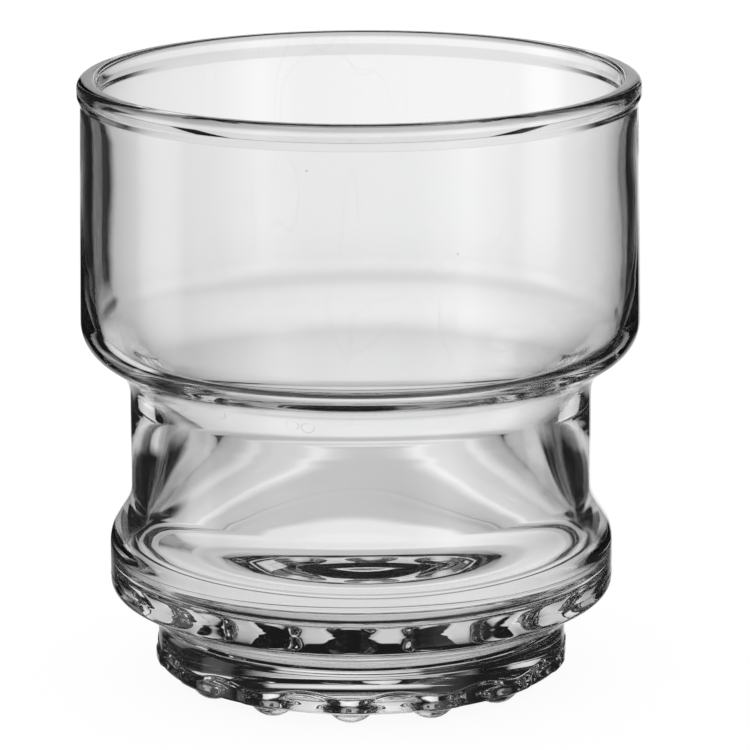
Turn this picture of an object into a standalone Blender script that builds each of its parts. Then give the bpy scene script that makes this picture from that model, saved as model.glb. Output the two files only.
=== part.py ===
"""Clear stacking tumbler for punch: one piece of moulded glass on a ring of round nubs.

The wall is one turned profile. It runs from the middle of the floor up the inside, over the beaded rim and
down the outside: straight bowl, sloping shoulder, waist, bulge, cove and foot. The nubs are balls let into
the flat underside near its edge, each ground to a small flat that the glass stands on.

Units are metres, +Z is up, and the origin is the centre of the ring of nub flats.
"""

import math

import bmesh
import bpy
import numpy as np
from mathutils import Matrix, Vector

OBJECT_NAME = "stacking_tumbler"

# Overall size and glass thickness.
HEIGHT = 0.0898
BOWL_WALL = 0.00185
BASE_THICKNESS = 0.0061

# Rim bead: its outer radius, its height, and how far it swells inside the bowl wall.
RIM_RADIUS = 0.0410
BEAD_HEIGHT = 0.0036
BEAD_INWARD = 0.00055
BEAD_EDGE_ROUND = 0.0012
BEAD_NOTCH_ROUND = 0.0006

# Bowl and the shoulder that closes it in towards the waist.
BOWL_TOP_RADIUS = 0.04054
BOWL_LOW_RADIUS = 0.04116
SHOULDER_HEIGHT = 0.0510
SHOULDER_ROUND = 0.0060

# Waist between shoulder and bulge.
WAIST_RADIUS = 0.0340
WAIST_TOP_HEIGHT = 0.0460
WAIST_TOP_ROUND = 0.0059
WAIST_LOW_HEIGHT = 0.0272
WAIST_LOW_ROUND = 0.0070

# Bulge and the cove under it.
BULGE_RADIUS = 0.0373
BULGE_TOP_HEIGHT = 0.0219
BULGE_TOP_ROUND = 0.0055
BULGE_LOW_HEIGHT = 0.0138
BULGE_LOW_ROUND = 0.0020
COVE_HEIGHT = 0.0095
COVE_ROUND = 0.0035

# Foot: a plain neck over a slightly wider band with a rounded lower edge.
NECK_RADIUS = 0.03035
BAND_RADIUS = 0.03072
BAND_HEIGHT = 0.0066
BAND_STEP = 0.0008
BAND_EDGE_ROUND = 0.0010

# Inside of the glass: the flat floor, then one smooth curve through stations set in from the outside.
FLOOR_RADIUS = 0.0235
HEEL_WALL = 0.00175
HEEL_RISE = 0.0033
BULGE_WALL = 0.00185
BULGE_WIDEST_DROP = 0.00285
BULGE_TOP_WALL = 0.0044
BULGE_TOP_RISE = 0.0006
WAIST_WALL = 0.0035
WAIST_LOW_SHARE = 0.25
WAIST_HIGH_SHARE = 0.575
SHOULDER_LOW_INWARD = 0.0007
SHOULDER_LOW_SHARE = 0.46
SHOULDER_WALL = 0.0030
SHOULDER_RISE = 0.0012
BOWL_LOW_WALL = 0.0022
BOWL_LOW_RISE = 0.0040
BOWL_STRAIGHT_RISE = 0.0120
FLOOR_EDGE_SWEEP = 0.81
BOWL_SWEEP = 0.99
CURVE_STEPS = 3

# Ring of nubs under the foot, turned so that one is nearly in front.
NUB_COUNT = 14
NUB_BALL_RADIUS = 0.0039
NUB_HEIGHT = 0.0023
NUB_EDGE_DISTANCE = 0.00447
NUB_FLAT_RADIUS = 0.0010
NUB_FIRST_TURN = math.radians(-3.28)

# Fineness of the round surfaces.
TURN_STEPS = 56
ARC_STEP = math.radians(22.0)
NUB_SEGMENTS = 16
NUB_RINGS = 12
SEAM_MERGE = 0.00001

GLASS_COLOUR = (0.93, 0.95, 0.95, 1.0)
GLASS_ROUGHNESS = 0.02
GLASS_IOR = 1.52


def clear_scene():
    for old in list(bpy.data.objects):
        bpy.data.objects.remove(old)


def make_collection(name):
    collection = bpy.data.collections.new(name)
    bpy.context.scene.collection.children.link(collection)
    return collection


def glass_material():
    material = bpy.data.materials.new("clear_glass")
    material.use_nodes = True
    shader = material.node_tree.nodes["Principled BSDF"]
    shader.inputs["Base Color"].default_value = GLASS_COLOUR
    shader.inputs["Roughness"].default_value = GLASS_ROUGHNESS
    shader.inputs["Metallic"].default_value = 0.0
    shader.inputs["IOR"].default_value = GLASS_IOR
    shader.inputs["Transmission Weight"].default_value = 1.0
    return material


def rounded_corner(before, corner, after, radius):
    """Points of the arc that rounds one corner; the arc takes at most half of each side."""
    to_before = before - corner
    to_after = after - corner
    half_angle = to_before.angle(to_after) / 2
    reach = radius / math.tan(half_angle)
    reach = min(reach, to_before.length / 2, to_after.length / 2)
    radius = reach * math.tan(half_angle)
    middle = (to_before.normalized() + to_after.normalized()).normalized()
    centre = corner + middle * (radius / math.sin(half_angle))
    start = corner + to_before.normalized() * reach - centre
    end = corner + to_after.normalized() * reach - centre
    turn = -start.angle_signed(end)
    steps = max(2, math.ceil(abs(turn) / ARC_STEP))
    points = []
    for i in range(steps + 1):
        points.append(centre + Matrix.Rotation(turn * i / steps, 2) @ start)
    return points


def rounded_profile(corners):
    """Outline through corners given as radius, height and rounding; the two ends stay sharp."""
    places = [Vector((radius, height)) for radius, height, _ in corners]
    points = [places[0]]
    for i in range(1, len(corners) - 1):
        rounding = corners[i][2]
        if rounding > 0:
            points += rounded_corner(places[i - 1], places[i], places[i + 1], rounding)
        else:
            points.append(places[i])
    points.append(places[-1])
    return points


def bowl_inside(height):
    """Inside radius of the bowl's straight wall at a height."""
    share = (height - SHOULDER_HEIGHT) / (HEIGHT - BEAD_HEIGHT - SHOULDER_HEIGHT)
    return BOWL_LOW_RADIUS + share * (BOWL_TOP_RADIUS - BOWL_LOW_RADIUS) - BOWL_WALL


def inside_stations():
    """Stations of the curved inside from the edge of the floor up to the straight bowl, as radius and height."""
    waist_length = WAIST_TOP_HEIGHT - WAIST_LOW_HEIGHT
    shoulder_length = SHOULDER_HEIGHT - WAIST_TOP_HEIGHT
    straight_height = SHOULDER_HEIGHT + BOWL_STRAIGHT_RISE
    return [
        (FLOOR_RADIUS, NUB_HEIGHT + BASE_THICKNESS),
        (NECK_RADIUS - HEEL_WALL, COVE_HEIGHT + HEEL_RISE),
        (BULGE_RADIUS - BULGE_WALL, BULGE_TOP_HEIGHT - BULGE_WIDEST_DROP),
        (BULGE_RADIUS - BULGE_TOP_WALL, BULGE_TOP_HEIGHT + BULGE_TOP_RISE),
        (WAIST_RADIUS - WAIST_WALL, WAIST_LOW_HEIGHT + WAIST_LOW_SHARE * waist_length),
        (WAIST_RADIUS - WAIST_WALL, WAIST_LOW_HEIGHT + WAIST_HIGH_SHARE * waist_length),
        (WAIST_RADIUS - SHOULDER_LOW_INWARD, WAIST_TOP_HEIGHT + SHOULDER_LOW_SHARE * shoulder_length),
        (BOWL_LOW_RADIUS - SHOULDER_WALL, SHOULDER_HEIGHT + SHOULDER_RISE),
        (BOWL_LOW_RADIUS - BOWL_LOW_WALL, SHOULDER_HEIGHT + BOWL_LOW_RISE),
        (bowl_inside(straight_height), straight_height),
    ]


def smooth_curve(stations, start_slope, end_slope):
    """Points of the cubic spline through the stations; it leaves the first and meets the last at the slopes given."""
    stations = np.array(stations)
    gaps = np.linalg.norm(np.diff(stations, axis=0), axis=1) ** 0.75
    chords = np.diff(stations, axis=0) / gaps[:, None]
    count = len(stations)
    system = np.eye(count)
    right = np.zeros((count, 2))
    right[0] = start_slope
    right[-1] = end_slope
    for i in range(1, count - 1):
        system[i, i - 1 : i + 2] = gaps[i], 2 * (gaps[i - 1] + gaps[i]), gaps[i - 1]
        right[i] = 3 * (gaps[i] * chords[i - 1] + gaps[i - 1] * chords[i])
    slopes = np.linalg.solve(system, right)
    points = []
    for i in range(count - 1):
        for step in range(CURVE_STEPS):
            t = step / CURVE_STEPS
            point = stations[i] * (1 + 2 * t) * (1 - t) ** 2 + stations[i + 1] * t * t * (3 - 2 * t)
            point += gaps[i] * (slopes[i] * t * (1 - t) ** 2 - slopes[i + 1] * t * t * (1 - t))
            points.append(Vector((float(point[0]), float(point[1]))))
    points.append(Vector((float(stations[-1][0]), float(stations[-1][1]))))
    return points


def inside_points():
    """The inside from the middle of the floor to the straight bowl."""
    stations = inside_stations()
    unit = math.dist(stations[0], stations[1]) ** 0.25
    curve = smooth_curve(stations, (FLOOR_EDGE_SWEEP * unit, 0.0), (0.0, BOWL_SWEEP * unit))
    return [Vector((0.0, stations[0][1]))] + curve


def lip_corners():
    """The inside of the bowl from its straight part up over the bead."""
    bowl_top_inside = BOWL_TOP_RADIUS - BOWL_WALL
    bead_low = HEIGHT - BEAD_HEIGHT
    bead_middle = HEIGHT - BEAD_HEIGHT / 2
    straight = inside_stations()[-1]
    return [
        (straight[0], straight[1], 0.0),
        (bowl_top_inside, bead_low, BEAD_EDGE_ROUND),
        (bowl_top_inside - BEAD_INWARD, bead_middle, BEAD_EDGE_ROUND),
        (bowl_top_inside - BEAD_INWARD, HEIGHT, BEAD_EDGE_ROUND),
    ]


def outside_corners():
    """The outside from the rim down to the flat underside and in to its middle."""
    bead_low = HEIGHT - BEAD_HEIGHT
    bead_waist = HEIGHT - BEAD_HEIGHT * 0.7
    underside = NUB_HEIGHT
    nub_ring_inside = BAND_RADIUS - NUB_EDGE_DISTANCE - NUB_BALL_RADIUS
    return [
        (RIM_RADIUS, HEIGHT, BEAD_EDGE_ROUND),
        (RIM_RADIUS, bead_waist, BEAD_EDGE_ROUND),
        (BOWL_TOP_RADIUS, bead_low, BEAD_NOTCH_ROUND),
        (BOWL_LOW_RADIUS, SHOULDER_HEIGHT, SHOULDER_ROUND),
        (WAIST_RADIUS, WAIST_TOP_HEIGHT, WAIST_TOP_ROUND),
        (WAIST_RADIUS, WAIST_LOW_HEIGHT, WAIST_LOW_ROUND),
        (BULGE_RADIUS, BULGE_TOP_HEIGHT, BULGE_TOP_ROUND),
        (BULGE_RADIUS, BULGE_LOW_HEIGHT, BULGE_LOW_ROUND),
        (NECK_RADIUS, COVE_HEIGHT, COVE_ROUND),
        (NECK_RADIUS, BAND_HEIGHT + BAND_STEP / 2, BAND_STEP),
        (BAND_RADIUS, BAND_HEIGHT - BAND_STEP / 2, BAND_STEP),
        (BAND_RADIUS, underside, BAND_EDGE_ROUND),
        (nub_ring_inside, underside, 0.0),
        (0.0, underside, 0.0),
    ]


def turned_object(name, points, material, collection):
    """A profile in the XZ plane, turned once about Z."""
    mesh = bpy.data.meshes.new(name)
    shape = bmesh.new()
    line = [shape.verts.new((point.x, 0.0, point.y)) for point in points]
    for first, second in zip(line, line[1:]):
        shape.edges.new((first, second))
    shape.to_mesh(mesh)
    shape.free()
    mesh.materials.append(material)
    turned = bpy.data.objects.new(name, mesh)
    collection.objects.link(turned)
    screw = turned.modifiers.new("turn", "SCREW")
    screw.axis = "Z"
    screw.angle = math.tau
    screw.steps = TURN_STEPS
    screw.render_steps = TURN_STEPS
    screw.use_merge_vertices = True
    screw.merge_threshold = SEAM_MERGE
    screw.use_smooth_shade = True
    return turned


def nub_ring(collection):
    """All nubs as one mesh of separate balls, cut flat below and again inside the base."""
    mesh = bpy.data.meshes.new("nub_ring")
    shape = bmesh.new()
    ring_radius = BAND_RADIUS - NUB_EDGE_DISTANCE
    centre_height = math.sqrt(NUB_BALL_RADIUS**2 - NUB_FLAT_RADIUS**2)
    for i in range(NUB_COUNT):
        turn = Matrix.Rotation(NUB_FIRST_TURN + math.tau * i / NUB_COUNT, 4, "Z")
        place = turn @ Matrix.Translation((0.0, -ring_radius, centre_height))
        bmesh.ops.create_uvsphere(
            shape, u_segments=NUB_SEGMENTS, v_segments=NUB_RINGS, radius=NUB_BALL_RADIUS, matrix=place
        )
    cut_height = min(NUB_HEIGHT + BASE_THICKNESS / 2, centre_height + NUB_BALL_RADIUS / 2)
    for height, outward in ((0.0, -1.0), (cut_height, 1.0)):
        everything = shape.verts[:] + shape.edges[:] + shape.faces[:]
        bmesh.ops.bisect_plane(
            shape, geom=everything, plane_co=(0.0, 0.0, height), plane_no=(0.0, 0.0, outward), clear_outer=True
        )
        rims = [edge for edge in shape.edges if edge.is_boundary]
        bmesh.ops.holes_fill(shape, edges=rims)
    bmesh.ops.recalc_face_normals(shape, faces=shape.faces)
    shape.to_mesh(mesh)
    shape.free()
    ring = bpy.data.objects.new("nub_ring", mesh)
    ring.hide_render = True
    ring.display_type = "WIRE"
    collection.objects.link(ring)
    return ring


def main():
    clear_scene()
    parts = make_collection(OBJECT_NAME)
    helpers = make_collection("joined_shapes")
    profile = inside_points()[:-1] + rounded_profile(lip_corners() + outside_corners())
    glass = turned_object("glass_tumbler", profile, glass_material(), parts)
    join = glass.modifiers.new("nubs", "BOOLEAN")
    join.operation = "UNION"
    join.solver = "EXACT"
    join.object = nub_ring(helpers)


main()
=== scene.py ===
"""Looks of the clear stacking tumbler: finely turned glass, its material, and a bright-field studio."""

import math

import bpy
import numpy as np
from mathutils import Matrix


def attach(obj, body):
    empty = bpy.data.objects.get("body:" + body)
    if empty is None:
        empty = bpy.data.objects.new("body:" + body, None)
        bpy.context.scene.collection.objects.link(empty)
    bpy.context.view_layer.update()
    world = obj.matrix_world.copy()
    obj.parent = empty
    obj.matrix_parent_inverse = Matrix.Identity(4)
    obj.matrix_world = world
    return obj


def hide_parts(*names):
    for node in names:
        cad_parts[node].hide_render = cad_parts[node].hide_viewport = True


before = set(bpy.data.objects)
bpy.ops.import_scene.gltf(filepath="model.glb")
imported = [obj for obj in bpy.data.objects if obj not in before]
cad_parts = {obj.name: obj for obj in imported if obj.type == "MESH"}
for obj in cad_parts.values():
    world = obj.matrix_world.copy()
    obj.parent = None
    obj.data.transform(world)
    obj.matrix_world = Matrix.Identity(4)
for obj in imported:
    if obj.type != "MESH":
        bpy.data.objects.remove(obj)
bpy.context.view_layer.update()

MM = 0.001

# Camera, from the photo's rim, parting line and nubs. Lengths in millimetres, angles in degrees.
IMAGE_SIDE = 750
CAMERA_DISTANCE = 620.0
CAMERA_ELEVATION = 13.97
CAMERA_TARGET_HEIGHT = 44.9
CAMERA_SIDESTEP = 2.125
CAMERA_ROLL = -0.21
FOCAL_PIXELS = 4201.2
SENSOR_WIDTH = 36.0
NEAREST_SEEN = 10.0

# Outside of the glass, in millimetres.
HEIGHT = 89.8
RIM_RADIUS = 41.0
RIM_ROUND = 1.35
BEAD_LOW_HEIGHT = 87.3
BEAD_ROUND = 1.2
BEAD_NOTCH_HEIGHT = 86.2
BEAD_NOTCH_ROUND = 0.6
BOWL_TOP_RADIUS = 40.54
BOWL_LOW_RADIUS = 41.16
SHOULDER_HEIGHT = 51.0
SHOULDER_ROUND = 6.0
WAIST_RADIUS = 34.0
WAIST_TOP_HEIGHT = 46.0
WAIST_TOP_ROUND = 5.9
WAIST_LOW_HEIGHT = 27.2
WAIST_LOW_ROUND = 7.0
BULGE_RADIUS = 37.3
BULGE_TOP_HEIGHT = 21.9
BULGE_TOP_ROUND = 5.5
BULGE_LOW_HEIGHT = 13.8
BULGE_LOW_ROUND = 2.0
NECK_RADIUS = 30.35
COVE_HEIGHT = 9.5
COVE_ROUND = 3.5
UNDERSIDE = 2.3
UNDERSIDE_ROUND = 1.0
UNDERSIDE_EDGE = 29.2
UNDERSIDE_DISH = 1.2
UNDERSIDE_DISH_RADIUS = 21.5

# Inside of the glass, from the floor up to the lip. Each wall is how far a knot of the smooth inside lies in
# from the named outside radius beside it, and each rise or drop counts from the named outside height.
FLOOR_HEIGHT = 8.4
FLOOR_RADIUS = 23.5
FLOOR_EDGE_SLOPE = (1.3, 0.0)
HEEL_WALL = 1.75
HEEL_RISE = 3.3
BULGE_WALL = 1.85
BULGE_WIDEST_DROP = 2.85
BULGE_TOP_WALL = 4.4
BULGE_TOP_RISE = 0.6
WAIST_WALL = 3.5
WAIST_LOW_RISE = 4.7
WAIST_HIGH_DROP = 8.0
SHOULDER_LOW_INWARD = 0.7
SHOULDER_LOW_RISE = 2.3
SHOULDER_WALL = 3.0
SHOULDER_RISE = 1.2
BOWL_LOW_WALL = 2.2
BOWL_LOW_RISE = 4.0
BOWL_INSIDE_RADIUS = 39.1
BOWL_STRAIGHT_RISE = 12.0
BOWL_SLOPE = (0.0, 1.6)
BOWL_WALL = 1.85
LIP_INWARD = 0.55
LIP_HEIGHT = 88.0

# Radius, height and rounding of each corner: over the lip and rim, then down the outside.
LIP_RADIUS = BOWL_TOP_RADIUS - BOWL_WALL
LIP_CORNERS = [
    (LIP_RADIUS, BEAD_NOTCH_HEIGHT, BEAD_ROUND),
    (LIP_RADIUS - LIP_INWARD, LIP_HEIGHT, BEAD_ROUND),
    (LIP_RADIUS - LIP_INWARD, HEIGHT, RIM_ROUND),
]
OUTSIDE_CORNERS = [
    (RIM_RADIUS, HEIGHT, RIM_ROUND),
    (RIM_RADIUS, BEAD_LOW_HEIGHT, BEAD_ROUND),
    (BOWL_TOP_RADIUS, BEAD_NOTCH_HEIGHT, BEAD_NOTCH_ROUND),
    (BOWL_LOW_RADIUS, SHOULDER_HEIGHT, SHOULDER_ROUND),
    (WAIST_RADIUS, WAIST_TOP_HEIGHT, WAIST_TOP_ROUND),
    (WAIST_RADIUS, WAIST_LOW_HEIGHT, WAIST_LOW_ROUND),
    (BULGE_RADIUS, BULGE_TOP_HEIGHT, BULGE_TOP_ROUND),
    (BULGE_RADIUS, BULGE_LOW_HEIGHT, BULGE_LOW_ROUND),
    (NECK_RADIUS, COVE_HEIGHT, COVE_ROUND),
    (NECK_RADIUS, UNDERSIDE, UNDERSIDE_ROUND),
    (UNDERSIDE_EDGE, UNDERSIDE, 0.0),
]

# Knots of the smooth inside, as radius and height, from the edge of the floor up to the straight bowl.
INSIDE_KNOTS = [
    (FLOOR_RADIUS, FLOOR_HEIGHT),
    (NECK_RADIUS - HEEL_WALL, COVE_HEIGHT + HEEL_RISE),
    (BULGE_RADIUS - BULGE_WALL, BULGE_TOP_HEIGHT - BULGE_WIDEST_DROP),
    (BULGE_RADIUS - BULGE_TOP_WALL, BULGE_TOP_HEIGHT + BULGE_TOP_RISE),
    (WAIST_RADIUS - WAIST_WALL, WAIST_LOW_HEIGHT + WAIST_LOW_RISE),
    (WAIST_RADIUS - WAIST_WALL, WAIST_TOP_HEIGHT - WAIST_HIGH_DROP),
    (WAIST_RADIUS - SHOULDER_LOW_INWARD, WAIST_TOP_HEIGHT + SHOULDER_LOW_RISE),
    (BOWL_LOW_RADIUS - SHOULDER_WALL, SHOULDER_HEIGHT + SHOULDER_RISE),
    (BOWL_LOW_RADIUS - BOWL_LOW_WALL, SHOULDER_HEIGHT + BOWL_LOW_RISE),
    (BOWL_INSIDE_RADIUS, SHOULDER_HEIGHT + BOWL_STRAIGHT_RISE),
]

# Nubs under the foot. They grow out of the foot below the top height and outside the inner radius.
NUB_COUNT = 14
NUB_RING_RADIUS = 26.25
NUB_BALL_RADIUS = 3.9
NUB_FIRST_ANGLE = -3.28
NUB_BLEND = 0.9
NUB_REACH = 2.6
NUB_TOP = 3.6
NUB_INNER_RADIUS = 20.0

# Lower band of the foot, a little proud, with a scalloped upper edge that dips at every nub, and a column
# above each nub.
BAND_PROUD = 0.20
BAND_HEIGHT = 4.7
BAND_SCALLOP = 0.6
BAND_STEP = 0.35
BAND_ROWS_TOP = 6.0
BAND_INNER_RADIUS = 28.0
BAND_INNER_FADE = 1.0
COLUMN_PROUD = 0.25
COLUMN_WIDTH = 5.6
COLUMN_SIDE = 0.9

# Parting line left by the mould, a fine raised thread round the bulge.
PARTING_HEIGHT = 15.8
PARTING_PROUD = 0.03
PARTING_WIDTH = 0.20
PARTING_REACH = 2.6 * PARTING_WIDTH

# Waviness of the inside: waves round the glass, lean per millimetre of height, and start.
MOULD_WAVES = [(3, 0.17, 0.0), (5, -0.29, 1.3), (2, 0.43, 0.4)]
MOULD_WAVE_DEPTH = 0.012
MOULD_WAVE_LOW = 8.0
MOULD_WAVE_HIGH = 86.0
MOULD_WAVE_FADE = 8.0

# Fineness of the surface.
ANGLE_STEPS = 336
ARC_STEP = math.radians(8.0)
ARC_ROOM = 0.499
LONGEST_STEP = 2.4
SMALLEST_STEP = 1e-6
KNOT_STEPS = 8
KNOT_EXPONENT = 0.75
FLOOR_ROWS = 8
PARTING_ROWS = 15
BAND_ROWS = 22
NUB_ROWS = 28
UNDERSIDE_ROWS = 11
HALVINGS = 22


def eased(share):
    """Soft step: the share held within 0 and 1, squared, times three less twice itself."""
    share = np.clip(share, 0, 1)
    return share * share * (3 - 2 * share)


def rounded_line(corners):
    """Straight runs between corners, each corner replaced by the arc of its rounding that touches both."""
    places = np.array([corner[:2] for corner in corners], float)
    pieces = [places[:1]]
    for i in range(1, len(corners) - 1):
        here = places[i]
        to_before, to_after = places[i - 1] - here, places[i + 1] - here
        room = ARC_ROOM * min(np.linalg.norm(to_before), np.linalg.norm(to_after))
        to_before, to_after = to_before / np.linalg.norm(to_before), to_after / np.linalg.norm(to_after)
        half = 0.5 * math.acos(np.clip(to_before @ to_after, -1, 1))
        reach = min(corners[i][2] / math.tan(half), room)
        if reach < SMALLEST_STEP:
            pieces.append(here[None])
            continue
        radius = reach * math.tan(half)
        middle = (to_before + to_after) / np.linalg.norm(to_before + to_after)
        centre = here + middle * radius / math.sin(half)
        start, end = here + to_before * reach - centre, here + to_after * reach - centre
        first = math.atan2(start[1], start[0])
        turn = (math.atan2(end[1], end[0]) - first + math.pi) % math.tau - math.pi
        angles = first + turn * np.linspace(0, 1, max(3, int(abs(turn) / ARC_STEP) + 2))
        pieces.append(centre + radius * np.stack([np.cos(angles), np.sin(angles)], 1))
    pieces.append(places[-1:])
    return np.concatenate(pieces)


def smooth_curve(knots, start_slope, end_slope, per_span):
    """Cubic spline through the knots: end slopes are given, and those between keep the bend continuous."""
    knots = np.array(knots, float)
    gaps = np.linalg.norm(np.diff(knots, axis=0), axis=1) ** KNOT_EXPONENT
    count = len(knots)
    system, right = np.eye(count), np.zeros((count, 2))
    right[0], right[-1] = start_slope, end_slope
    chords = np.diff(knots, axis=0) / gaps[:, None]
    inner = np.arange(1, count - 1)
    system[inner, inner - 1] = gaps[1:]
    system[inner, inner] = 2 * (gaps[:-1] + gaps[1:])
    system[inner, inner + 1] = gaps[:-1]
    right[inner] = 3 * (gaps[1:, None] * chords[:-1] + gaps[:-1, None] * chords[1:])
    slopes = np.linalg.solve(system, right)
    t = np.linspace(0, 1, per_span, endpoint=False)[None, :, None]
    start, end = knots[:-1, None], knots[1:, None]
    leave, meet = slopes[:-1, None] * gaps[:, None, None], slopes[1:, None] * gaps[:, None, None]
    curve = start * (1 + 2 * t) * (1 - t) ** 2 + leave * t * (1 - t) ** 2
    curve = curve + end * t * t * (3 - 2 * t) + meet * t * t * (t - 1)
    return np.concatenate([curve.reshape(-1, 2), knots[-1:]])


def refined(line):
    """The same line with every step longer than the longest allowed one split evenly."""
    lengths = np.linalg.norm(np.diff(line, axis=0), axis=1)
    line = line[np.concatenate([[True], lengths > SMALLEST_STEP])]
    along = np.concatenate([[0], np.cumsum(np.linalg.norm(np.diff(line, axis=0), axis=1))])
    parts = np.maximum(1, np.ceil(np.diff(along) / LONGEST_STEP)).astype(int)
    whole = np.repeat(np.arange(len(parts)), parts)
    share = np.arange(len(whole)) - np.repeat(np.cumsum(parts) - parts, parts)
    wanted = along[whole] + np.diff(along)[whole] * share / parts[whole]
    wanted = np.append(wanted, along[-1])
    return np.stack([np.interp(wanted, along, line[:, 0]), np.interp(wanted, along, line[:, 1])], 1)


def with_rows(line, top, bottom, count):
    """Close, even rows on the outside between two heights, for fine relief there."""
    outside = np.arange(len(line)) > np.argmax(line[:, 1])
    after = np.nonzero(outside & (line[:, 1] < top))[0][0]
    before = np.nonzero(outside & (line[:, 1] > bottom))[0][-1]
    rising = line[after - 1 : before + 2][::-1]
    heights = np.linspace(top, bottom, count)
    radii = np.interp(heights, rising[:, 1], rising[:, 0])
    return np.concatenate([line[:after], np.stack([radii, heights], 1), line[before + 1 :]])


def glass_profile():
    """Half section: from the floor's middle up the inside, over the rim, down to the dished underside."""
    floor_radii = np.linspace(0, FLOOR_RADIUS, FLOOR_ROWS, endpoint=False)
    floor = np.stack([floor_radii, np.full(FLOOR_ROWS, FLOOR_HEIGHT)], 1)
    inside = smooth_curve(INSIDE_KNOTS, FLOOR_EDGE_SLOPE, BOWL_SLOPE, KNOT_STEPS)
    shell = rounded_line([(*inside[-1], 0.0)] + LIP_CORNERS + OUTSIDE_CORNERS)
    line = refined(np.concatenate([floor, inside[:-1], shell]))
    line = with_rows(line, PARTING_HEIGHT + PARTING_REACH, PARTING_HEIGHT - PARTING_REACH, PARTING_ROWS)
    line = with_rows(line, BAND_ROWS_TOP, NUB_TOP, BAND_ROWS)
    below_nubs = np.linspace(UNDERSIDE_EDGE, NUB_INNER_RADIUS, NUB_ROWS)[1:]
    radii = np.concatenate([below_nubs, np.linspace(NUB_INNER_RADIUS, 0.0, UNDERSIDE_ROWS)[1:]])
    dish = UNDERSIDE_DISH * np.clip(1 - (radii / UNDERSIDE_DISH_RADIUS) ** 2, 0, 1)
    return np.concatenate([line, np.stack([radii, UNDERSIDE + dish], 1)])


def nub_distance(radius, height, angle):
    """Distance to the nearest of the balls that stand evenly on their ring and touch the table."""
    pitch = math.tau / NUB_COUNT
    off = (angle - math.radians(NUB_FIRST_ANGLE) + pitch / 2) % pitch - pitch / 2
    flat = radius**2 + NUB_RING_RADIUS**2 - 2 * radius * NUB_RING_RADIUS * np.cos(off)
    return np.sqrt(flat + (height - NUB_BALL_RADIUS) ** 2) - NUB_BALL_RADIUS


def joined(first, second, blend):
    """Distance to two solids joined with a rounded seam: the smaller, less a bump where they are alike."""
    near = np.maximum(blend - abs(first - second), 0)
    return np.minimum(first, second) - near**2 / (4 * blend)


def nub_swelling(radius, height, out_radius, out_height, angle):
    """How far the foot moves along its normal to reach the solid joined from foot and balls, by halving."""
    low, high = np.zeros_like(radius), np.full_like(radius, NUB_REACH)
    for _ in range(HALVINGS):
        middle = 0.5 * (low + high)
        ball = nub_distance(radius + middle * out_radius, height + middle * out_height, angle)
        inside = joined(middle, ball, NUB_BLEND) < 0
        low, high = np.where(inside, middle, low), np.where(inside, high, middle)
    return 0.5 * (low + high)


def band_relief(radius, height, angle):
    """Soft step outwards below an edge that dips by a cosine at each nub, and further out on each column."""
    nub_turn = NUB_COUNT * (angle - math.radians(NUB_FIRST_ANGLE))
    edge = BAND_HEIGHT - BAND_SCALLOP * np.cos(nub_turn)
    from_nub = abs((nub_turn + math.pi) % math.tau - math.pi) * radius / NUB_COUNT
    column = eased((COLUMN_WIDTH / 2 - from_nub) / COLUMN_SIDE + 0.5)
    fade = np.clip((radius - BAND_INNER_RADIUS) / BAND_INNER_FADE, 0, 1)
    return (BAND_PROUD + COLUMN_PROUD * column) * eased((edge - height) / BAND_STEP / 2 + 0.5) * fade


def parting_relief(height):
    """A thread with a bell-shaped section: the exponential of minus the squared distance in widths."""
    return PARTING_PROUD * np.exp(-(((height - PARTING_HEIGHT) / PARTING_WIDTH) ** 2))


def mould_waviness(height, angle):
    """Sum of leaning sine waves round the glass, faded out towards the floor and the rim."""
    wave = sum(np.sin(count * angle + lean * height + start) for count, lean, start in MOULD_WAVES)
    rise = np.clip((height - MOULD_WAVE_LOW) / MOULD_WAVE_FADE, 0, 1)
    fall = np.clip((MOULD_WAVE_HIGH - height) / MOULD_WAVE_FADE, 0, 1)
    return MOULD_WAVE_DEPTH * wave * rise * fall


def glass_points(line, angle):
    """The half section turned round the axis: band, nubs and parting thread outside, waviness inside."""
    outside = (np.arange(len(line)) > np.argmax(line[:, 1]))[1:-1, None]
    along = np.gradient(line, axis=0)[1:-1]
    along /= np.linalg.norm(along, axis=1, keepdims=True)
    radius = line[1:-1, :1] + 0 * angle
    height = line[1:-1, 1:] + 0 * angle
    radius = radius + np.where(outside, band_relief(radius, height, angle), 0)
    foot = (outside & (height < NUB_TOP))[:, 0]
    out_radius, out_height = -along[foot, 1:], along[foot, :1]
    swelling = nub_swelling(radius[foot], height[foot], out_radius, out_height, angle)
    radius[foot] += swelling * out_radius
    height[foot] += swelling * out_height
    radius = radius + np.where(outside, parting_relief(height), mould_waviness(height, angle))
    rings = np.stack([radius * np.sin(angle), -radius * np.cos(angle), height], -1).reshape(-1, 3)
    return np.concatenate([[[0, 0, line[0, 1]]], rings, [[0, 0, line[-1, 1]]]]) * MM


def glass_faces(ring_count):
    """Quads between neighbouring rings, and a fan to the middle point at each end."""
    here = np.arange(ANGLE_STEPS)[None]
    beside = (here + 1) % ANGLE_STEPS
    ring = 1 + (np.arange(ring_count - 1) * ANGLE_STEPS)[:, None]
    after = ring + ANGLE_STEPS
    walls = np.stack([after + here, after + beside, ring + beside, ring + here], -1).reshape(-1, 4)
    last_ring = 1 + (ring_count - 1) * ANGLE_STEPS
    last = last_ring + ANGLE_STEPS
    floor_fan = np.stack([0 * here, here + 1, beside + 1], -1).reshape(-1, 3)
    foot_fan = np.stack([0 * here + last, last_ring + beside, last_ring + here], -1).reshape(-1, 3)
    return walls.tolist() + floor_fan.tolist() + foot_fan.tolist()


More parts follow.
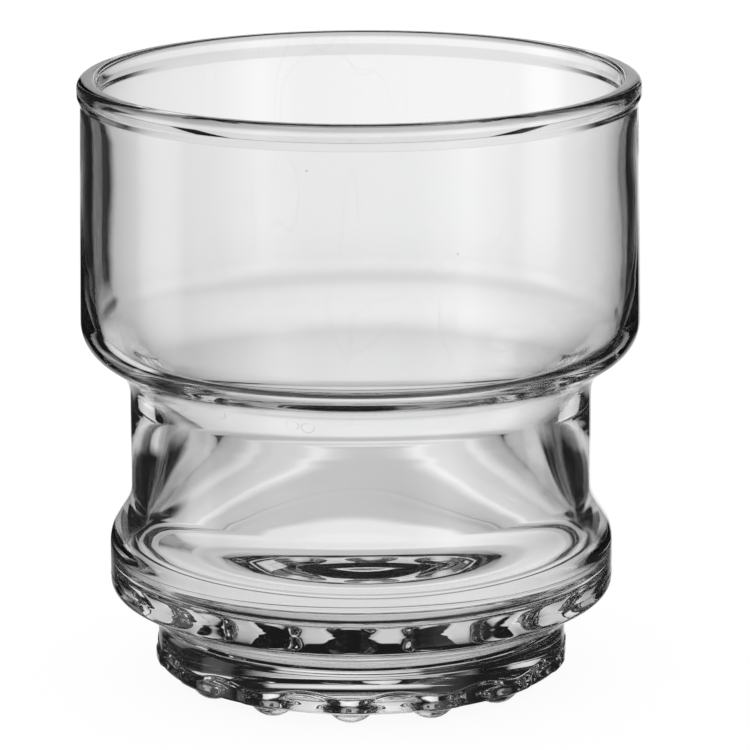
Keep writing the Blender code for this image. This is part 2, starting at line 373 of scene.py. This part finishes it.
def make_glass():
    """The turned points and their faces as one closed mesh."""
    line = glass_profile()
    angle = (np.arange(ANGLE_STEPS) * math.tau / ANGLE_STEPS)[None]
    mesh = bpy.data.meshes.new("tumbler_glass")
    mesh.from_pydata(glass_points(line, angle), [], glass_faces(len(line) - 2))
    mesh.shade_smooth()
    glass = bpy.data.objects.new("tumbler_glass", mesh)
    bpy.context.scene.collection.objects.link(glass)
    return glass


class Nodes:
    """Short hand for building a node tree: math, smooth ramps, mixes, noise and links."""

    def __init__(self, tree):
        """Starts from an empty tree."""
        self.tree = tree
        tree.nodes.clear()

    def add(self, kind, **settings):
        """A new node with its settings."""
        node = self.tree.nodes.new(kind)
        for name, value in settings.items():
            setattr(node, name, value)
        return node

    def link(self, source, target):
        """Joins an output to an input."""
        self.tree.links.new(source, target)

    def feed(self, socket, value):
        """Links another node's output, or sets a plain value."""
        if isinstance(value, bpy.types.NodeSocket):
            self.link(value, socket)
        else:
            socket.default_value = value

    def math(self, operation, *values):
        """One operation on numbers or outputs."""
        node = self.add("ShaderNodeMath", operation=operation)
        for socket, value in zip(node.inputs, values):
            self.feed(socket, value)
        return node.outputs[0]

    def ramp(self, value, start, end, at_start, at_end):
        """Soft step from one level to another while the value goes from start to end."""
        node = self.add("ShaderNodeMapRange", interpolation_type="SMOOTHSTEP")
        settings = {"Value": value, "From Min": start, "From Max": end, "To Min": at_start, "To Max": at_end}
        for name, setting in settings.items():
            self.feed(node.inputs[name], setting)
        return node.outputs[0]

    def mix(self, kind, share, first, second):
        """First and second blended, with the given share of the second."""
        node = self.add("ShaderNodeMix", data_type=kind)
        sockets = [socket for socket in node.inputs if socket.enabled]
        for socket, value in zip(sockets, (share, first, second)):
            self.feed(socket, value)
        return next(socket for socket in node.outputs if socket.enabled)

    def noise(self, place, scale, detail, stretch):
        """Soft noise on places stretched along each axis."""
        stretched = self.add("ShaderNodeMapping")
        self.link(place, stretched.inputs["Vector"])
        stretched.inputs["Scale"].default_value = stretch
        node = self.add("ShaderNodeTexNoise")
        self.link(stretched.outputs[0], node.inputs["Vector"])
        node.inputs["Scale"].default_value = scale
        node.inputs["Detail"].default_value = detail
        return node.outputs[0]


WHITE = (1.0, 1.0, 1.0, 1.0)

# Finish of the glass: patterns per metre and how far they are drawn out upwards, then strengths and colours.
SMEARS_PER_METRE = 40.0
HAIRS_PER_METRE = 70.0
GRAINS_PER_METRE = 300.0
WAVES_PER_METRE = 24.0
SPECKS_PER_METRE = 150.0
DRAWN_OUT = (1.0, 1.0, 0.3)
SLIGHTLY_DRAWN_OUT = (1.0, 1.0, 0.6)
EVEN = (1.0, 1.0, 1.0)
HAIR_STRENGTH = 0.05
HAIR_EDGE = (0.001, 0.004)
HAIR_SMEARS = (0.54, 0.62)
RUB_STRENGTH = 0.30
RUB_GRAINS = (0.42, 0.56)
RUB_LEAST = 0.1
SPECK_STRENGTH = 0.45
SPECK_SHARE = 0.34
SPECK_SIZES = (0.012, 0.035)
DULL_SMEARS = (0.5, 0.75)
SMEAR_ROUGHNESS = 0.04
MARK_ROUGHNESS = 0.3
WAVE_DEPTH = 0.05
GRAIN_SHARE = 0.02
FILM_SMEARS = (0.42, 0.68)
FILM_COLOUR = (0.985, 0.987, 0.987, 1.0)
MARK_COLOUR = (0.16, 0.16, 0.16, 1.0)
GLASS_IOR = 1.52

# Small ring-shaped rubs under the shoulder, where stacked glasses touch: place and radius in millimetres.
RUB_MARKS = [
    (-25.6, -24.6, 46.8, 1.2),
    (-20.0, -29.4, 46.6, 1.1),
    (-9.4, -33.6, 46.2, 0.9),
    (-7.3, -33.9, 45.8, 0.9),
]
RUB_LINE = 0.04
RUB_LINE_EDGE = 0.16


def rub_marks(n, place):
    """Thin rings at set distances from the marks' centres."""
    marks = 0.0
    for x, y, z, radius in RUB_MARKS:
        far = n.add("ShaderNodeVectorMath", operation="DISTANCE")
        n.link(place, far.inputs[0])
        far.inputs[1].default_value = (x * MM, y * MM, z * MM)
        off = n.math("ABSOLUTE", n.math("SUBTRACT", far.outputs["Value"], radius * MM))
        marks = n.math("MAXIMUM", marks, n.ramp(off, RUB_LINE * MM, RUB_LINE_EDGE * MM, 1.0, 0.0))
    return marks


def dust_specks(n, place):
    """Sparse round grains of mixed sizes, in about a third of the cells of an even scatter."""
    cells = n.add("ShaderNodeTexVoronoi")
    cells.inputs["Scale"].default_value = SPECKS_PER_METRE
    n.link(place, cells.inputs["Vector"])
    draw = n.add("ShaderNodeSeparateColor")
    n.link(cells.outputs["Color"], draw.inputs[0])
    size = n.ramp(draw.outputs[1], 0.0, 1.0, *SPECK_SIZES)
    grain = n.math("LESS_THAN", cells.outputs["Distance"], size)
    return n.math("MULTIPLY", grain, n.math("GREATER_THAN", draw.outputs[0], 1 - SPECK_SHARE))


def hairlines(n, place, smear):
    """Fine lines where a drawn-out noise passes its middle value, only within the heavier smears."""
    off = n.math("ABSOLUTE", n.math("SUBTRACT", n.noise(place, HAIRS_PER_METRE, 1.0, DRAWN_OUT), 0.5))
    return n.math("MULTIPLY", n.ramp(off, *HAIR_EDGE, 1.0, 0.0), n.ramp(smear, *HAIR_SMEARS, 0.0, 1.0))


def clear_glass():
    """Fire-polished clear glass with wiped smears, slight waves, dust specks, hairlines and rub marks."""
    material = bpy.data.materials.new("clear_glass")
    material.use_nodes = True
    n = Nodes(material.node_tree)
    place = n.add("ShaderNodeTexCoord").outputs["Object"]
    smear = n.noise(place, SMEARS_PER_METRE, 2.0, DRAWN_OUT)
    grain = n.noise(place, GRAINS_PER_METRE, 1.0, EVEN)
    wave = n.noise(place, WAVES_PER_METRE, 1.0, SLIGHTLY_DRAWN_OUT)
    rub = n.math("MULTIPLY", rub_marks(n, place), n.ramp(grain, *RUB_GRAINS, RUB_LEAST, 1.0))
    marks = n.math("MULTIPLY", hairlines(n, place, smear), HAIR_STRENGTH)
    marks = n.math("MAXIMUM", marks, n.math("MULTIPLY", rub, RUB_STRENGTH))
    marks = n.math("MAXIMUM", marks, n.math("MULTIPLY", dust_specks(n, place), SPECK_STRENGTH))

    film = n.mix("RGBA", n.ramp(smear, *FILM_SMEARS, 0.0, 1.0), WHITE, FILM_COLOUR)
    roughness = n.ramp(smear, *DULL_SMEARS, 0.0, SMEAR_ROUGHNESS)
    roughness = n.math("ADD", roughness, n.math("MULTIPLY", marks, MARK_ROUGHNESS))
    bump = n.add("ShaderNodeBump")
    bump.inputs["Distance"].default_value = WAVE_DEPTH * MM
    n.link(n.math("ADD", wave, n.math("MULTIPLY", grain, GRAIN_SHARE)), bump.inputs["Height"])

    shader = n.add("ShaderNodeBsdfPrincipled")
    n.link(n.mix("RGBA", marks, film, MARK_COLOUR), shader.inputs["Base Color"])
    n.link(roughness, shader.inputs["Roughness"])
    n.link(bump.outputs[0], shader.inputs["Normal"])
    shader.inputs["Transmission Weight"].default_value = 1.0
    shader.inputs["IOR"].default_value = GLASS_IOR
    out = n.add("ShaderNodeOutputMaterial")
    n.link(shader.outputs[0], out.inputs["Surface"])
    return material


# Table top: half its side in metres, its own glow and the share of matt white.
TABLE_HALF_SIDE = 6.0
TABLE_GLOW = 1.02
TABLE_MATT_SHARE = 0.08
TABLE_COLOUR = (0.98, 0.98, 0.98, 1.0)


def white_table():
    """Mostly glowing white, with a matt share that takes the shadow."""
    material = bpy.data.materials.new("white_table")
    material.use_nodes = True
    n = Nodes(material.node_tree)
    glow = n.add("ShaderNodeEmission")
    glow.inputs["Color"].default_value = WHITE
    glow.inputs["Strength"].default_value = TABLE_GLOW
    matt = n.add("ShaderNodeBsdfDiffuse")
    matt.inputs["Color"].default_value = TABLE_COLOUR
    mix = n.add("ShaderNodeMixShader")
    mix.inputs[0].default_value = TABLE_MATT_SHARE
    n.link(glow.outputs[0], mix.inputs[1])
    n.link(matt.outputs[0], mix.inputs[2])
    out = n.add("ShaderNodeOutputMaterial")
    n.link(mix.outputs[0], out.inputs["Surface"])
    return material


def make_floor():
    """A pale table top that stays white and keeps a faint shadow; rays in the glass pass through it."""
    side = TABLE_HALF_SIDE
    mesh = bpy.data.meshes.new("table")
    corners = [(-side, -side, 0), (side, -side, 0), (side, side, 0), (-side, side, 0)]
    mesh.from_pydata(corners, [], [(0, 1, 2, 3)])
    mesh.materials.append(white_table())
    floor = bpy.data.objects.new("table", mesh)
    bpy.context.scene.collection.objects.link(floor)
    floor.visible_transmission = False
    floor.visible_glossy = False
    return floor


# Backdrops: azimuth of the centre, where the edge starts and ends to each side, lower edge and its softness,
# upper edge and its softness, and brightness; degrees, azimuth from +Y towards +X. The back panels stand
# behind the glass in the main view and are shaded; the side panels stand behind it in other views.
BACK_PANELS = [
    (2.5, 12.5, 15.0, -52.0, 2.0, 18.0, 3.0, 1.0),
    (0.0, 18.0, 27.0, -52.0, 2.0, -16.5, 2.5, 0.85),
]
SIDE_PANELS = [
    (-46.5, 8.0, 12.0, -42.0, 3.0, -20.0, 2.0, 0.85),
    (-90.0, 9.0, 15.0, -30.0, 3.0, 18.0, 4.0, 0.95),
    (135.0, 5.0, 24.0, -52.0, 3.0, 18.0, 4.0, 0.85),
]
ROOM_LIGHT = 0.015
PANEL_FALL_REACH = 1.6
PANEL_FALL_LEVEL = 0.63

# Shading of the back panels: from a lower level up to full, then down again, each over a span of elevation.
LOW_SHADE_SPAN = (-27.0, -11.0)
LOW_SHADE = 0.66
HIGH_SHADE_SPAN = (-9.0, 0.0)
HIGH_SHADE = 0.86


def panel_light(n, light, azimuth, elevation, panels):
    """The greatest of the light so far and each panel's level, which falls sideways within soft edges."""
    for centre, inner, outer, low, low_soft, high, high_soft, level in panels:
        off = n.math("ABSOLUTE", n.math("WRAP", n.math("SUBTRACT", azimuth, centre), 180.0, -180.0))
        across = n.ramp(off, 0.0, PANEL_FALL_REACH * inner, level, PANEL_FALL_LEVEL * level)
        across = n.math("MULTIPLY", across, n.ramp(off, inner, outer, 1.0, 0.0))
        above = n.ramp(elevation, low - low_soft, low + low_soft, 0.0, 1.0)
        below = n.ramp(elevation, high - high_soft, high + high_soft, 1.0, 0.0)
        light = n.math("MAXIMUM", light, n.math("MULTIPLY", across, n.math("MULTIPLY", above, below)))
    return light


def make_studio():
    """White to the eye; glass sees bright backdrops with soft edges in a dim room."""
    world = bpy.data.worlds.new("studio")
    bpy.context.scene.world = world
    world.use_nodes = True
    n = Nodes(world.node_tree)
    split = n.add("ShaderNodeSeparateXYZ")
    n.link(n.add("ShaderNodeTexCoord").outputs["Generated"], split.inputs[0])
    to_degrees = 180 / math.pi
    azimuth = n.math("MULTIPLY", n.math("ARCTAN2", split.outputs[0], split.outputs[1]), to_degrees)
    elevation = n.math("MULTIPLY", n.math("ARCSINE", split.outputs[2]), to_degrees)
    light = panel_light(n, ROOM_LIGHT, azimuth, elevation, BACK_PANELS)
    light = n.math("MULTIPLY", light, n.ramp(elevation, *LOW_SHADE_SPAN, LOW_SHADE, 1.0))
    light = n.math("MULTIPLY", light, n.ramp(elevation, *HIGH_SHADE_SPAN, 1.0, HIGH_SHADE))
    light = panel_light(n, light, azimuth, elevation, SIDE_PANELS)
    path = n.add("ShaderNodeLightPath")
    in_glass = n.math("MAXIMUM", path.outputs["Is Glossy Ray"], path.outputs["Is Transmission Ray"])
    in_glass = n.math("MULTIPLY", in_glass, n.math("SUBTRACT", 1.0, path.outputs["Is Camera Ray"]))
    sky = n.add("ShaderNodeBackground")
    sky.inputs["Color"].default_value = WHITE
    n.link(n.mix("FLOAT", in_glass, 1.0, light), sky.inputs["Strength"])
    out = n.add("ShaderNodeOutputWorld")
    n.link(sky.outputs[0], out.inputs["Surface"])


def make_camera():
    """A long lens set back by the cosine of its tilt and up by the sine, turned down and slightly rolled."""
    camera = bpy.data.cameras.new("camera")
    holder = bpy.data.objects.new("camera", camera)
    scene = bpy.context.scene
    scene.collection.objects.link(holder)
    scene.camera = holder
    camera.sensor_width = SENSOR_WIDTH
    camera.lens = FOCAL_PIXELS / IMAGE_SIDE * SENSOR_WIDTH
    camera.clip_start = NEAREST_SEEN * MM
    tilt = math.radians(CAMERA_ELEVATION)
    back, up = CAMERA_DISTANCE * math.cos(tilt), CAMERA_DISTANCE * math.sin(tilt)
    holder.location = (CAMERA_SIDESTEP * MM, -back * MM, (CAMERA_TARGET_HEIGHT + up) * MM)
    holder.rotation_euler = (math.pi / 2 - tilt, 0, 0)
    holder.rotation_euler.rotate_axis("Z", math.radians(CAMERA_ROLL))


make_camera()
make_studio()
make_floor()
glass = make_glass()
glass.data.materials.append(clear_glass())
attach(glass, "root")
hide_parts("glass_tumbler")

LIGHT_BOUNCES = 32
scene = bpy.context.scene
scene.view_settings.view_transform = "Standard"
scene.cycles.max_bounces = LIGHT_BOUNCES
scene.cycles.transmission_bounces = LIGHT_BOUNCES
scene.cycles.glossy_bounces = LIGHT_BOUNCES
